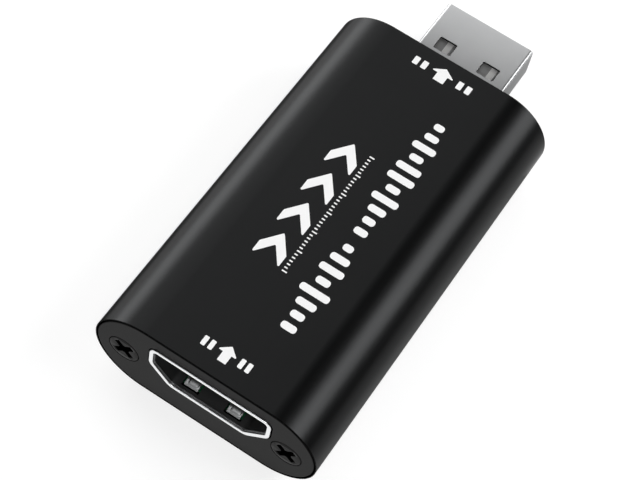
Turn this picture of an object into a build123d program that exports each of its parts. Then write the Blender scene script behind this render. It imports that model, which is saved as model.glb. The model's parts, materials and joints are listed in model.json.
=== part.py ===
from build123d import *
import os

# The case rests on its flat underside. X runs across it, Y from the input end to the
# output end, and Z up. Lengths are in millimetres.

# Case sleeve: an extrusion with flat faces and half-elliptical sides. Its width and height
# follow from the socket and the screws beside it, and its length from what the board carries.
parts_length = 26.05
side_depth = 6.3
ceiling_gap = 1.45
wall = 1.0
case_edge_break = 0.08

# End plates, let into a step at each end of the sleeve
plate_thickness = 1.2
lip_thickness = 0.25
plate_gap = 0.05
plate_edge_break = 0.08

# Plate screws, and the open channels in the sleeve that take them
screw_socket_gap = 3.3
screw_inset = 3.7
screw_drop = 0.25
screw_length = 6.0
shank_diameter = 2.0
head_diameter = 3.7
recess_span = 2.6
recess_arm = 0.65
recess_core = 1.1
recess_depth = 0.8
recess_turns_degrees = (44.0, 49.0)
tip_chamfer = 0.3
hole_play = 0.1
head_play = 0.05
thread_play = 0.03
channel_wall = 0.75
channel_slot = 1.2
channel_web = 2.4

# Computer plug: a folded steel shell round a plastic tongue with four contacts
plug_width = 12.0
plug_height = 4.5
plug_reach = 12.05
plug_inside = 8.0
plug_wall = 0.3
plug_corner = 0.45
plug_edge_break = 0.1
plug_seam = 0.06
plug_floor_gap = 0.3
plug_sink = 0.45
plug_plate_gap = 0.12
window_width = 2.35
window_length = 1.95
window_setback = 4.95
window_spacing = 6.0
plug_tongue_height = 1.95
plug_tongue_setback = 0.6
plug_cavity = 9.2
plug_insulator_gap = 0.06
plug_insulator_tail = 0.3
plug_contact_width = 0.8
plug_contact_thickness = 0.25
plug_contact_proud = 0.05
plug_contact_foot = 1.3
plug_riser_gap = 0.1
plug_outer_spacing = 6.2
plug_inner_spacing = 2.0
plug_outer_setback = 1.6
plug_inner_setback = 2.6
plug_tab_length = 1.5
plug_tab_reach = 1.2
plug_tab_setback = 0.8
plug_tab_spacing = 3.5

# Circuit board, held in a groove along each side of the sleeve
board_inset = 2.9
board_thickness = 1.6
board_play = 0.05
board_end_gap = 0.2
ledge_width = 0.8
notch_side_gap = 0.25
slot_play = 0.1
pin_length = 0.4

# Video socket: a flared steel shell, four spring fingers, and a tongue with nineteen contacts
socket_width = 14.0
socket_height = 4.55
socket_side = 2.35
socket_slope_width = 2.35
socket_top_corner = 0.4
socket_shoulder_corner = 0.7
socket_base_corner = 0.9
socket_wall = 0.3
socket_flare = 0.3
flare_depth = 0.5
socket_proud = 0.15
socket_depth = 11.4
socket_offset = 0.5
socket_standoff = 1.0
socket_plate_gap = 0.1
leg_length = 1.6
leg_front_setback = 2.6
leg_rear_setback = 8.4
tongue_side_gap = 1.45
tongue_thickness = 1.05
tongue_setback = 1.7
tongue_edge_break = 0.2
tongue_length = 5.6
insulator_gap = 0.05
rear_cap_thickness = 1.0
contact_pitch = 1.0
upper_contact_count = 10
lower_contact_count = 9
contact_width = 0.3
contact_thickness = 0.2
contact_proud = 0.04
contact_setback = 0.4
contact_drop_gap = 0.15
contact_foot = 1.0

# Spring fingers: each stands in its own slot and swings out about its root
finger_edge_gap = 1.075
finger_width = 1.75
finger_side_gap = 0.2
finger_root_gap = 0.03
finger_tip_setback = 0.75
finger_tip_gap = 0.15
finger_length = 5.2
finger_crest = 0.3
finger_crest_setback = 0.7
finger_ramp = 1.6
finger_bend = 0.6
finger_tip_rise = 0.05

# Parts on the circuit board, with their places as shares of its width and of the length
# that is free between the two connectors
chip_side = 7.0
chip_height = 1.4
chip_edge_break = 0.15
chip_leads_per_side = 12
chip_lead_pitch = 0.5
chip_lead_width = 0.22
chip_lead_reach = 1.0
chip_side_gap = 0.2
chip_place_shares = (0.0, 0.38)
memory_length = 4.9
memory_width = 3.9
memory_height = 1.5
memory_lead_count = 4
memory_lead_pitch = 1.27
memory_lead_width = 0.42
memory_lead_reach = 1.05
memory_place_shares = (0.22, 0.756)
package_standoff = 0.1
lead_thickness = 0.15
lead_foot_share = 0.55
regulator_length = 2.9
regulator_width = 1.6
regulator_height = 1.1
regulator_lead_pitch = 1.9
regulator_lead_width = 0.4
regulator_lead_reach = 0.6
regulator_place_shares = ((-0.24, 0.79), (-0.04, 0.79))
crystal_length = 3.2
crystal_width = 2.5
crystal_base_height = 0.4
crystal_lid_height = 0.35
crystal_lid_inset = 0.2
crystal_corner = 0.3
crystal_length_share = 0.29
inductor_side = 3.0
inductor_height = 1.2
inductor_corner = 0.6
inductor_place_shares = (-0.27, 0.93)
surge_length = 2.5
surge_width = 1.0
surge_height = 0.5
surge_place_shares = ((-0.2, 0.08), (-0.02, 0.08), (0.16, 0.08))
chip_part_length = 1.6
chip_part_width = 0.8
chip_part_end = 0.3
capacitor_height = 0.8
resistor_height = 0.45
capacitor_place_shares = ((-0.3, 0.14), (-0.3, 0.434), (-0.3, 0.523), (0.3, 0.14), (0.29, 0.273),
                          (0.29, 0.46), (-0.3, 0.63), (0.02, 0.935))
resistor_place_shares = ((-0.12, 0.14), (0.02, 0.14), (0.16, 0.14), (-0.14, 0.63), (0.0, 0.63),
                         (-0.13, 0.935))

overrun = 1.0
touch = 0.01

# Sizes and positions across and up, worked out from the inside to the outside
screw_spacing = socket_width + 2 * screw_socket_gap
case_width = screw_spacing + 2 * screw_inset
flat_width = case_width - 2 * side_depth
board_width = case_width - 2 * board_inset
tongue_width = socket_width - 2 * tongue_side_gap
plug_bottom = wall + plug_floor_gap
plug_middle = plug_bottom + plug_height / 2
plug_tongue_top = plug_bottom + plug_wall + plug_tongue_height
board_top = plug_middle + plug_sink
board_bottom = board_top - board_thickness
socket_floor = board_top + socket_standoff
socket_middle = socket_floor + socket_height / 2
socket_ceiling = socket_floor + socket_height
socket_shoulder = socket_height - socket_side
case_height = socket_ceiling + socket_wall + ceiling_gap + wall
case_middle = case_height / 2
screw_height = case_middle - screw_drop
shank_radius = shank_diameter / 2
head_radius = head_diameter / 2
head_height = head_radius - shank_radius
finger_spacing = socket_width - 2 * (socket_slope_width + finger_edge_gap) - finger_width

# Positions along the case, with the middle of its whole length at zero
socket_end_length = socket_depth - socket_proud + rear_cap_thickness + contact_drop_gap + contact_foot
plug_end_length = plug_contact_foot + plug_contact_thickness + plug_riser_gap + plug_insulator_tail
case_length = socket_end_length + parts_length + plug_end_length + plug_inside
total_length = socket_proud + case_length + plug_reach
input_face = socket_proud - total_length / 2
output_face = input_face + case_length
plug_tip = output_face + plug_reach
plug_rear = output_face - plug_inside
plug_cavity_end = plug_tip - plug_cavity
plug_contact_drop = plug_rear - plug_insulator_tail - plug_riser_gap
notch_end = plug_contact_drop - plug_contact_thickness - plug_riser_gap
board_front = input_face + plate_thickness + board_end_gap
board_rear = output_face - plate_thickness - board_end_gap
board_length = board_rear - board_front
socket_front = input_face - socket_proud
socket_rear = socket_front + socket_depth
insulator_front = input_face + tongue_setback + tongue_length
contact_drop = socket_rear + rear_cap_thickness + contact_drop_gap
finger_tip = input_face + finger_tip_setback
finger_root = finger_tip + finger_length


def along(profile, start, end):
    """Solid of a profile drawn in X and Z, running along Y from start to end."""
    return extrude(Plane.XZ.offset(-end) * profile, amount=end - start)


def block(low, high):
    """Box between two opposite corners, given in any order."""
    size = [abs(b - a) for a, b in zip(low, high)]
    middle = [(a + b) / 2 for a, b in zip(low, high)]
    return Pos(*middle) * Box(*size)


def span(low, high):
    """Flat rectangle of a profile between two opposite corners, given in any order."""
    size = [abs(b - a) for a, b in zip(low, high)]
    middle = [(a + b) / 2 for a, b in zip(low, high)]
    return Pos(*middle) * Rectangle(*size)


def joined(shapes):
    """One shape made of several that meet."""
    result = shapes[0]
    for shape in shapes[1:]:
        result = result + shape
    return result


def group(shapes):
    """Separate solids kept together as one node."""
    return Compound(children=[solid for shape in shapes for solid in shape.solids()])


def end_edges(solid, place):
    """Outer edges of the face that closes a solid at a place along Y."""
    closing = solid.faces().filter_by(lambda face: abs(face.center().Y - place) < touch)
    return closing.sort_by(SortBy.AREA)[-1].outer_wire().edges()


def case_section(inset):
    """Outline of the case, drawn in all round by an inset."""
    side = (case_width - flat_width) / 2 - inset
    height = case_height - inset - inset
    ends = [Pos(hand * flat_width / 2, 0) * Ellipse(side, height / 2) for hand in (-1, 1)]
    return Pos(0, case_middle) * joined([Rectangle(flat_width, height)] + ends)


def channel_profile():
    """Screw channels joined to the side walls, and the rails above and below the board's edges."""
    shapes = []
    for hand in (-1, 1):
        centre = hand * screw_spacing / 2
        outside = hand * case_width / 2
        inside = hand * (board_width / 2 - ledge_width)
        shapes.append(Pos(centre, screw_height) * Circle(shank_radius + channel_wall))
        low, high = screw_height - channel_web / 2, screw_height + channel_web / 2
        shapes.append(span((centre, low), (outside, high)))
        shapes.append(span((inside, wall / 2), (outside, screw_height)))
    return joined(shapes)


def channel_cuts():
    """Screw bores with their slots, and the groove that the board slides in."""
    half = board_width / 2 + board_play
    shapes = [span((-half, board_bottom - board_play), (half, board_top + board_play))]
    for hand in (-1, 1):
        centre = hand * screw_spacing / 2
        mouth = centre - hand * (shank_radius + channel_wall + overrun)
        shapes.append(Pos(centre, screw_height) * Circle(shank_radius + thread_play))
        low, high = screw_height - channel_slot / 2, screw_height + channel_slot / 2
        shapes.append(span((centre, low), (mouth, high)))
    return joined(shapes)


def case_sleeve():
    """Extruded sleeve with its screw channels and board rails, stepped at both ends for the plates."""
    inner = case_section(wall)
    profile = case_section(0) - inner + (channel_profile() & inner) - channel_cuts()
    sleeve = along(profile, input_face, output_face)
    step = case_section(lip_thickness)
    sleeve -= along(step, input_face, input_face + plate_thickness)
    sleeve -= along(step, output_face - plate_thickness, output_face)
    for place in (input_face, output_face):
        sleeve = chamfer(end_edges(sleeve, place), case_edge_break)
    return sleeve


def screw_hole():
    """Countersunk hole through a plate whose outer face is at zero."""
    top = head_radius + head_play
    radius = shank_radius + hole_play
    back = plate_thickness + overrun
    corners = [(0, 0), (top, 0), (radius, top - radius), (radius, back), (0, back)]
    return revolve(make_face(Polyline(*corners, close=True)), Axis.Y)


def end_plate(opening):
    """Plate with its outer face at zero, its two screw holes and the opening for a connector."""
    plate = along(case_section(lip_thickness + plate_gap), 0, plate_thickness)
    plate = chamfer(end_edges(plate, 0), plate_edge_break)
    for hand in (-1, 1):
        plate -= Pos(hand * screw_spacing / 2, 0, screw_height) * screw_hole()
    return plate - along(opening, -overrun, plate_thickness + overrun)


def plate_screw(turn):
    """Countersunk screw with a cross recess, its head level with zero."""
    tip = shank_radius - tip_chamfer
    shank_end = screw_length - tip_chamfer
    corners = [(0, 0), (head_radius, 0), (shank_radius, head_height), (shank_radius, shank_end),
               (tip, screw_length), (0, screw_length)]
    screw = revolve(make_face(Polyline(*corners, close=True)), Axis.Y)
    cross = joined([Rectangle(recess_span, recess_arm), Rectangle(recess_arm, recess_span),
                    Rot(0, 0, 45) * Rectangle(recess_core, recess_core)])
    return screw - along(Rot(0, 0, turn) * cross, -overrun, recess_depth)


def plate_screws():
    """The two screws of one plate, with the plate's outer face at zero."""
    places = [hand * screw_spacing / 2 for hand in (-1, 1)]
    return [Pos(x, 0, screw_height) * plate_screw(turn) for x, turn in zip(places, recess_turns_degrees)]


def at_input(shape):
    """Place a shape of an end plate at the input end."""
    return Pos(0, input_face, 0) * shape


def at_output(shape):
    """Place a shape of an end plate at the output end, turned to face out."""
    return Pos(0, output_face, 0) * Rot(0, 0, 180) * shape


def socket_outline(grow):
    """Outline of the socket's inside, wide at the top with sloped shoulders, grown all round."""
    half = socket_width / 2
    base = half - socket_slope_width
    corners = [(-base, 0), (base, 0), (half, socket_shoulder), (half, socket_height),
               (-half, socket_height), (-half, socket_shoulder)]
    face = make_face(Polyline(*corners, close=True))
    radii = (socket_base_corner, socket_shoulder_corner, socket_top_corner)
    for height, radius in zip((0, socket_shoulder, socket_height), radii):
        points = face.vertices().filter_by(lambda v: abs(v.X) >= base and abs(v.Y - height) < touch)
        face = fillet(points, radius)
    if grow:
        face = offset(face, amount=grow)
    return Pos(socket_offset, socket_floor) * face


def socket_form(grow):
    """Solid inside an outline of the socket, from its flared front to its rear."""
    flare_end = input_face + flare_depth
    mouth = Plane.XZ.offset(-socket_front) * socket_outline(grow + socket_flare)
    throat = Plane.XZ.offset(-flare_end) * socket_outline(grow)
    return loft([mouth, throat], ruled=True) + along(socket_outline(grow), flare_end, socket_rear)


def leg_boxes(play):
    """Boxes of the socket's four legs, grown sideways by a play."""
    boxes = []
    top = socket_ceiling - socket_side / 2
    for hand in (-1, 1):
        side = socket_offset + hand * socket_width / 2
        for setback in (leg_front_setback, leg_rear_setback):
            front = socket_front + setback
            low = (side - hand * play, front - play, board_bottom - pin_length)
            high = (side + hand * (socket_wall + play), front + leg_length + play, top)
            boxes.append(block(low, high))
    return boxes


def finger_centres():
    """X of the left and right spring fingers."""
    return {"left": socket_offset - finger_spacing / 2, "right": socket_offset + finger_spacing / 2}


def socket_shell():
    """Folded steel shell with its flared mouth, four legs and a slot round each spring finger."""
    shell = socket_form(socket_wall) - socket_form(0) - along(socket_outline(0), socket_rear - overrun,
                                                               socket_rear + overrun)
    shell = joined([shell] + [leg - socket_form(0) for leg in leg_boxes(0)])
    half = finger_width / 2 + finger_side_gap
    front = finger_tip - finger_tip_gap
    rear = finger_root + socket_wall / 2 + finger_root_gap
    for centre in finger_centres().values():
        for low in (socket_floor - socket_wall - socket_flare, socket_ceiling - finger_root_gap):
            height = socket_wall + socket_flare + finger_root_gap
            shell -= block((centre - half, front, low), (centre + half, rear, low + height))
    return shell


def spring_finger(centre, level, inward):
    """Strip of spring steel with a round root on its hinge line and a crest that stands into the socket."""
    half = socket_wall / 2
    crest = -finger_length + finger_crest_setback
    line = [(0, 0), (crest + finger_ramp, 0), (crest, finger_crest), (-finger_length, finger_tip_rise)]
    above = FilletPolyline(*[(y, z + half) for y, z in line], radius=finger_bend)
    below = FilletPolyline(*[(y, z - half) for y, z in line], radius=finger_bend)
    ends = [Line(above @ 0, below @ 0), Line(above @ 1, below @ 1)]
    profile = make_face([above, below] + ends) + Circle(half)
    if inward < 0:
        profile = mirror(profile, Plane.XZ)
    return Pos(0, finger_root, level) * extrude(Plane.YZ.offset(centre - finger_width / 2) * profile,
                                                amount=finger_width)


def row_places(count, pitch, middle):
    """Places of a row of pieces at a steady pitch about its middle."""
    return [middle + (index - (count - 1) / 2) * pitch for index in range(count)]


def socket_contact(x, low):
    """Contact blade along the tongue, down the rear of the insulator and out on the board."""
    left, right = x - contact_width / 2, x + contact_width / 2
    front = input_face + tongue_setback + contact_setback
    behind = contact_drop + contact_thickness
    bar = block((left, front, low), (right, behind, low + contact_thickness))
    drop = block((left, contact_drop, board_top), (right, behind, low + contact_thickness))
    foot = block((left, contact_drop, board_top),
                 (right, contact_drop + contact_foot, board_top + contact_thickness))
    return joined([bar, drop, foot])


def socket_contacts():
    """The upper and the lower row of contacts."""
    upper = socket_middle + tongue_thickness / 2 + contact_proud - contact_thickness
    lower = socket_middle - tongue_thickness / 2 - contact_proud
    upper_places = row_places(upper_contact_count, contact_pitch, socket_offset)
    lower_places = row_places(lower_contact_count, contact_pitch, socket_offset)
    return [socket_contact(x, upper) for x in upper_places], [socket_contact(x, lower) for x in lower_places]


def socket_insulator(contacts):
    """Tongue, the block that fills the shell behind it, and a rear cap that stands on the board."""
    left, right = socket_offset - tongue_width / 2, socket_offset + tongue_width / 2
    low, high = socket_middle - tongue_thickness / 2, socket_middle + tongue_thickness / 2
    tongue = block((left, input_face + tongue_setback, low), (right, insulator_front, high))
    tongue = chamfer(tongue.faces().sort_by(Axis.Y)[0].edges(), tongue_edge_break)
    core = along(socket_outline(-insulator_gap), insulator_front, socket_rear)
    outside = socket_width / 2 + socket_wall
    cap = block((socket_offset - outside, socket_rear, board_top),
                (socket_offset + outside, socket_rear + rear_cap_thickness, socket_ceiling + socket_wall))
    insulator = joined([tongue, core, cap])
    for contact in contacts:
        insulator -= contact
    return insulator


def plug_section(inset):
    """Outline of the plug, drawn in all round by an inset."""
    return Pos(0, plug_middle) * RectangleRounded(plug_width - inset - inset, plug_height - inset - inset,
                                                  plug_corner - inset)


def tab_places():
    """Y of the near edge of each mounting tab of the plug."""
    return [plug_rear + plug_tab_setback, plug_rear + plug_tab_setback + plug_tab_spacing]


def pin_boxes(play):
    """Boxes of the plug's four pins through the board, grown sideways by a play."""
    boxes = []
    for hand in (-1, 1):
        side = hand * (plug_width / 2 + plug_tab_reach)
        for front in tab_places():
            low = (side + hand * play, front - play, board_bottom - pin_length)
            high = (side - hand * (plug_wall + play), front + plug_tab_length + play, board_top + plug_wall)
            boxes.append(block(low, high))
    return boxes


def plug_shell():
    """Folded steel shell with two windows above and below, a seam underneath and four mounting tabs."""
    shell = along(plug_section(0), plug_rear, plug_tip)
    shell = chamfer(end_edges(shell, plug_tip), plug_edge_break)
    shell -= along(plug_section(plug_wall), plug_rear - overrun, plug_tip + overrun)
    front = plug_tip - window_setback
    for hand in (-1, 1):
        middle = hand * window_spacing / 2
        shell -= block((middle - window_width / 2, front - window_length, plug_bottom - overrun),
                       (middle + window_width / 2, front, plug_bottom + plug_height + overrun))
    shell -= block((-plug_seam / 2, plug_rear - overrun, plug_bottom - overrun),
                   (plug_seam / 2, plug_tip + overrun, plug_bottom + plug_wall + plug_seam))
    for hand in (-1, 1):
        inside = hand * (plug_width / 2 - plug_wall / 2)
        outside = hand * (plug_width / 2 + plug_tab_reach)
        for near in tab_places():
            far = near + plug_tab_length
            shell += block((inside, near, board_top), (outside, far, board_top + plug_wall))
    return joined([shell] + pin_boxes(0))


def plug_contacts():
    """Four contacts: strips on the tongue that step up on to the board, the outer two reaching further."""
    top = plug_tongue_top + plug_contact_proud
    low = top - plug_contact_thickness
    contacts = []
    pairs = ((plug_outer_spacing, plug_outer_setback), (plug_inner_spacing, plug_inner_setback))
    for spacing, setback in pairs:
        for hand in (-1, 1):
            left = hand * spacing / 2 - plug_contact_width / 2
            right = left + plug_contact_width
            behind = plug_contact_drop - plug_contact_thickness
            strip = block((left, behind, low), (right, plug_tip - setback, top))
            foot_top = board_top + plug_contact_thickness
            riser = block((left, behind, low), (right, plug_contact_drop, foot_top))
            foot = block((left, behind - plug_contact_foot, board_top), (right, plug_contact_drop, foot_top))
            contacts.append(joined([strip, riser, foot]))
    return contacts


def plug_insulator(contacts):
    """Tongue along the lower half of the plug, and the block that closes its rear."""
    inset = plug_wall + plug_insulator_gap
    half = plug_width / 2 - inset
    tongue = block((-half, plug_cavity_end, plug_bottom + inset),
                   (half, plug_tip - plug_tongue_setback, plug_tongue_top))
    tongue = chamfer(tongue.faces().sort_by(Axis.Y)[-1].edges(), tongue_edge_break)
    insulator = tongue + along(plug_section(inset), plug_rear - plug_insulator_tail, plug_cavity_end)
    for contact in contacts:
        insulator -= contact
    return insulator


def circuit_board():
    """Board with a notch for the plug, and slots for the legs and pins of both connectors."""
    board = block((-board_width / 2, board_front, board_bottom), (board_width / 2, board_rear, board_top))
    half = plug_width / 2 + notch_side_gap
    low, high = board_bottom - overrun, board_top + overrun
    board -= block((-half, notch_end, low), (half, board_rear + overrun, high))
    for box in leg_boxes(slot_play) + pin_boxes(slot_play):
        board -= box
    return board


def on_board(shape, place_shares):
    """Move a shape to a place on the board, given as shares of its width and of the free length."""
    across = place_shares[0] * board_width
    return Pos(across, input_face + socket_end_length + place_shares[1] * parts_length, board_top) * shape


def beside_chip(shape, length_share):
    """Move a crystal's shape to the left of the capture chip, clear of its leads."""
    across = chip_side / 2 + chip_lead_reach + chip_side_gap + crystal_length / 2
    return on_board(shape, (-across / board_width, length_share))


def gull_lead(width, reach, rise):
    """Lead from a package's side at zero: out, down, and along the board."""
    knee = reach * (1 - lead_foot_share)
    shoulder = block((0, -width / 2, rise - lead_thickness), (knee, width / 2, rise))
    riser = block((knee - lead_thickness, -width / 2, 0), (knee, width / 2, rise))
    foot = block((knee - lead_thickness, -width / 2, 0), (reach, width / 2, lead_thickness))
    return joined([shoulder, riser, foot])


def package(length, width, height):
    """Moulded body of a chip, a little above the board."""
    top = package_standoff + height
    body = block((-length / 2, -width / 2, package_standoff), (length / 2, width / 2, top))
    return chamfer(body.faces().sort_by(Axis.Z)[-1].edges(), chip_edge_break)


def lead_rows(half, count, pitch, lead, angles):
    """Rows of leads round a package, one row for each angle."""
    places = row_places(count, pitch, 0)
    return [Rot(0, 0, angle) * Pos(half, place, 0) * lead for angle in angles for place in places]


def capture_chip_leads():
    """Leads on all four sides of the capture chip."""
    lead = gull_lead(chip_lead_width, chip_lead_reach, package_standoff + chip_height / 2)
    return lead_rows(chip_side / 2, chip_leads_per_side, chip_lead_pitch, lead, (0, 90, 180, 270))


def memory_chip_leads():
    """Leads on the two long sides of the memory chip."""
    lead = gull_lead(memory_lead_width, memory_lead_reach, package_standoff + memory_height / 2)
    return lead_rows(memory_width / 2, memory_lead_count, memory_lead_pitch, lead, (90, 270))


def regulator():
    """Moulded body of a voltage regulator."""
    return package(regulator_length, regulator_width, regulator_height)


def regulator_leads():
    """Two leads on one side of a regulator and one on the other."""
    lead = gull_lead(regulator_lead_width, regulator_lead_reach, package_standoff + regulator_height / 2)
    pair = lead_rows(regulator_width / 2, 2, regulator_lead_pitch, lead, (270,))
    return pair + lead_rows(regulator_width / 2, 1, regulator_lead_pitch, lead, (90,))


def crystal_base():
    """Ceramic base of the clock crystal."""
    return extrude(Rectangle(crystal_length, crystal_width), amount=crystal_base_height)


def crystal_lid():
    """Metal lid of the clock crystal."""
    length = crystal_length - 2 * crystal_lid_inset
    lid = RectangleRounded(length, crystal_width - 2 * crystal_lid_inset, crystal_corner)
    return Pos(0, 0, crystal_base_height) * extrude(lid, amount=crystal_lid_height)


def power_inductor():
    """Square ferrite body of the power inductor."""
    return extrude(RectangleRounded(inductor_side, inductor_side, inductor_corner), amount=inductor_height)


def surge_array():
    """Flat body that guards a few lines of the socket."""
    return extrude(Rectangle(surge_length, surge_width), amount=surge_height)


def chip_part(height):
    """Body of a small two-ended part."""
    half = chip_part_length / 2 - chip_part_end
    return block((-half, -chip_part_width / 2, 0), (half, chip_part_width / 2, height))


def chip_part_ends(height):
    """The two metal ends of a small part."""
    inner = chip_part_length / 2 - chip_part_end
    outer = chip_part_length / 2
    return [block((hand * inner, -chip_part_width / 2, 0), (hand * outer, chip_part_width / 2, height))
            for hand in (-1, 1)]


def placed(shapes, places):
    """Copies of shapes at each place on the board."""
    return [on_board(shape, place) for place in places for shape in shapes]


upper_contacts, lower_contacts = socket_contacts()
plug_strips = plug_contacts()

nodes = {
    "case_sleeve": case_sleeve(),
    "input_end_plate": at_input(end_plate(socket_outline(socket_wall + socket_flare + socket_plate_gap))),
    "output_end_plate": at_output(end_plate(plug_section(-plug_plate_gap))),
    "input_plate_screws": group([at_input(screw) for screw in plate_screws()]),
    "output_plate_screws": group([at_output(screw) for screw in plate_screws()]),
    "circuit_board": circuit_board(),
    "socket_shell": socket_shell(),
    "socket_insulator": socket_insulator(upper_contacts + lower_contacts),
    "socket_upper_contacts": group(upper_contacts),
    "socket_lower_contacts": group(lower_contacts),
    "plug_shell": plug_shell(),
    "plug_insulator": plug_insulator(plug_strips),
    "plug_contacts": group(plug_strips),
    "capture_chip": on_board(package(chip_side, chip_side, chip_height), chip_place_shares),
    "capture_chip_leads": group(placed(capture_chip_leads(), [chip_place_shares])),
    "memory_chip": on_board(package(memory_length, memory_width, memory_height), memory_place_shares),
    "memory_chip_leads": group(placed(memory_chip_leads(), [memory_place_shares])),
    "voltage_regulators": group(placed([regulator()], regulator_place_shares)),
    "regulator_leads": group(placed(regulator_leads(), regulator_place_shares)),
    "clock_crystal_base": beside_chip(crystal_base(), crystal_length_share),
    "clock_crystal_lid": beside_chip(crystal_lid(), crystal_length_share),
    "power_inductor": on_board(power_inductor(), inductor_place_shares),
    "surge_arrays": group(placed([surge_array()], surge_place_shares)),
    "capacitors": group(placed([chip_part(capacitor_height)], capacitor_place_shares)),
    "resistors": group(placed([chip_part(resistor_height)], resistor_place_shares)),
    "chip_part_ends": group(placed(chip_part_ends(capacitor_height), capacitor_place_shares)
                            + placed(chip_part_ends(resistor_height), resistor_place_shares)),
}
for side, centre in finger_centres().items():
    nodes["lower_spring_" + side] = spring_finger(centre, socket_floor - socket_wall / 2, 1)
    nodes["upper_spring_" + side] = spring_finger(centre, socket_ceiling + socket_wall / 2, -1)

os.makedirs("parts", exist_ok=True)
for name, shape in nodes.items():
    export_step(shape, "parts/" + name + ".step")
print(len(nodes), "nodes,", sum(len(shape.solids()) for shape in nodes.values()), "solids")
print("length over all", total_length, "finger root", finger_root, "levels", socket_floor, socket_ceiling)
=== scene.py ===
# %% [markdown]
# # A stick-shaped video capture adapter
# The real object is a small black aluminium case with a video socket at one end and a flat
# computer plug at the other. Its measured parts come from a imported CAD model, which is the frame
# here. In Blender we make each visible part again as a finer mesh, give every part its finish,
# and light it like a product on a pale table. The object's lengths are written in millimetres and
# turned into metres where a mesh is made. Only the floor and the lamps are written in metres.

# %% Load the measured parts
import json
import math

import bmesh
import bpy
from mathutils import Vector, Matrix
from mathutils.geometry import tessellate_polygon


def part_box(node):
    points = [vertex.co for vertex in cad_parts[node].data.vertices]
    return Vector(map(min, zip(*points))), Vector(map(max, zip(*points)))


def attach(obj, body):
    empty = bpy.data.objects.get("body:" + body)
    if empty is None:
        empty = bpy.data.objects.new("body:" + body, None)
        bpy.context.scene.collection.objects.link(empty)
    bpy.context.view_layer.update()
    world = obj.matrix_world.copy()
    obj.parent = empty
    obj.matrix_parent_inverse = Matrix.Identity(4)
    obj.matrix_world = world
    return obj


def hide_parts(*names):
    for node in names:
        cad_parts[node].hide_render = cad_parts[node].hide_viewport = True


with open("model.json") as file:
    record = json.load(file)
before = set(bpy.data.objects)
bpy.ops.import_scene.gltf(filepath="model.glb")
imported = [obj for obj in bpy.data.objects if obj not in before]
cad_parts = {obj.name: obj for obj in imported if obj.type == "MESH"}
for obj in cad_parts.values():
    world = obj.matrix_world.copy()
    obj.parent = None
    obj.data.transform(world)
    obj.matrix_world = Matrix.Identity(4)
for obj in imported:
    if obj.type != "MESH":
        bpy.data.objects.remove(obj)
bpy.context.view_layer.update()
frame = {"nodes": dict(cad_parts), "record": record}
mm = 0.001
print("measured parts:", len(frame["nodes"]))


# %% [markdown]
# ## Places read from the measured parts
# A part that is remade has to sit where the measured one sits. The box of a measured part gives
# its lowest and highest corner, so most places are read from those boxes and not typed again.

# %% Places of the case, the plates and the connectors
def edges_of(node):
    """Lowest and highest corner of a measured part, in millimetres."""
    low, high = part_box(node)
    return low / mm, high / mm


case_low, case_high = edges_of("case_sleeve")
plate_low, plate_high = edges_of("input_end_plate")
socket_low, socket_high = edges_of("socket_shell")
plug_low, plug_high = edges_of("plug_shell")
input_face, output_face = case_low.y, case_high.y
case_width, case_height = case_high.x - case_low.x, case_high.z - case_low.z
case_middle = case_height / 2
plate_thickness = plate_high.y - plate_low.y
print(f"case {case_width:.1f} wide, {case_height:.1f} high, {output_face - input_face:.1f} long")


# %% [markdown]
# ## The camera
# The photograph was taken from above the input end with a long lens, and turned so that the stick
# lies across the picture. The camera is set by its place, the way that it looks and the way that
# is to its right. A long lens keeps the two ends nearly the same size.

# %% Camera at the photograph's angle
camera_place = Vector((37.06, input_face - 76.84, 184.78)) * mm
look = Vector((-0.1808, 0.4823, -0.8571)).normalized()
to_the_right = Vector((0.8359, 0.5346, 0.1245))
to_the_right = (to_the_right - to_the_right.dot(look) * look).normalized()
upward = to_the_right.cross(look)
lens_length = 105.63
sensor_width = 36.0
nearest_seen, farthest_seen = 0.001, 100.0

camera = bpy.data.objects.new("camera", bpy.data.cameras.new("camera"))
bpy.context.scene.collection.objects.link(camera)
turned = Matrix((to_the_right, upward, -look)).transposed().to_4x4()
camera.matrix_world = Matrix.Translation(camera_place) @ turned
camera.data.lens = lens_length
camera.data.sensor_width = sensor_width
camera.data.clip_start = nearest_seen
camera.data.clip_end = farthest_seen
bpy.context.scene.camera = camera
print("camera", [round(value, 3) for value in camera_place])


# %% [markdown]
# ## Nodes, one line each
# A finish is a small network of nodes. Four helpers keep the networks readable: one adds a node,
# sets its plain values and joins its inputs, one splits a place into its axes, one turns a factor
# into a range of values, and one makes an even spread of soft noise.

# %% Helpers for node networks
def add_node(tree, kind, joined=None, **values):
    """New node in a tree, with plain settings by name and inputs joined by name."""
    node = tree.nodes.new(kind)
    for name, value in values.items():
        setattr(node, name, value)
    for name, source in (joined or {}).items():
        socket = node.inputs[name]
        if isinstance(source, bpy.types.NodeSocket):
            tree.links.new(source, socket)
        else:
            socket.default_value = source
    return node


def axes(tree, place):
    """The X, Y and Z of a place, as three outputs by name."""
    return add_node(tree, "ShaderNodeSeparateXYZ", {"Vector": place}).outputs


def spread(tree, factor, low, high):
    """Map a factor from zero and one to a low and a high value."""
    node = add_node(tree, "ShaderNodeMapRange", {"Value": factor, "To Min": low, "To Max": high})
    return node.outputs["Result"]


def noise(tree, place, size, detail=3.0):
    """Soft noise whose blotches are about a size across, in millimetres."""
    values = {"Vector": place, "Scale": 1 / (size * mm), "Detail": detail}
    return add_node(tree, "ShaderNodeTexNoise", values).outputs[0]


# %% [markdown]
# ## The table and the light
# A product photograph of a glossy black thing is mostly a photograph of its lamps. The floor is
# plain and pale, and a large soft lamp stands on each side of the stick, with its long edge along
# the case, so that the rounded sides carry a long bright band with a dark one beside it. A third
# large one, much dimmer, hangs over the case. A smaller lamp shines from the front, into the socket
# and the plug's windows. The surroundings are white low down and darker overhead.

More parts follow.
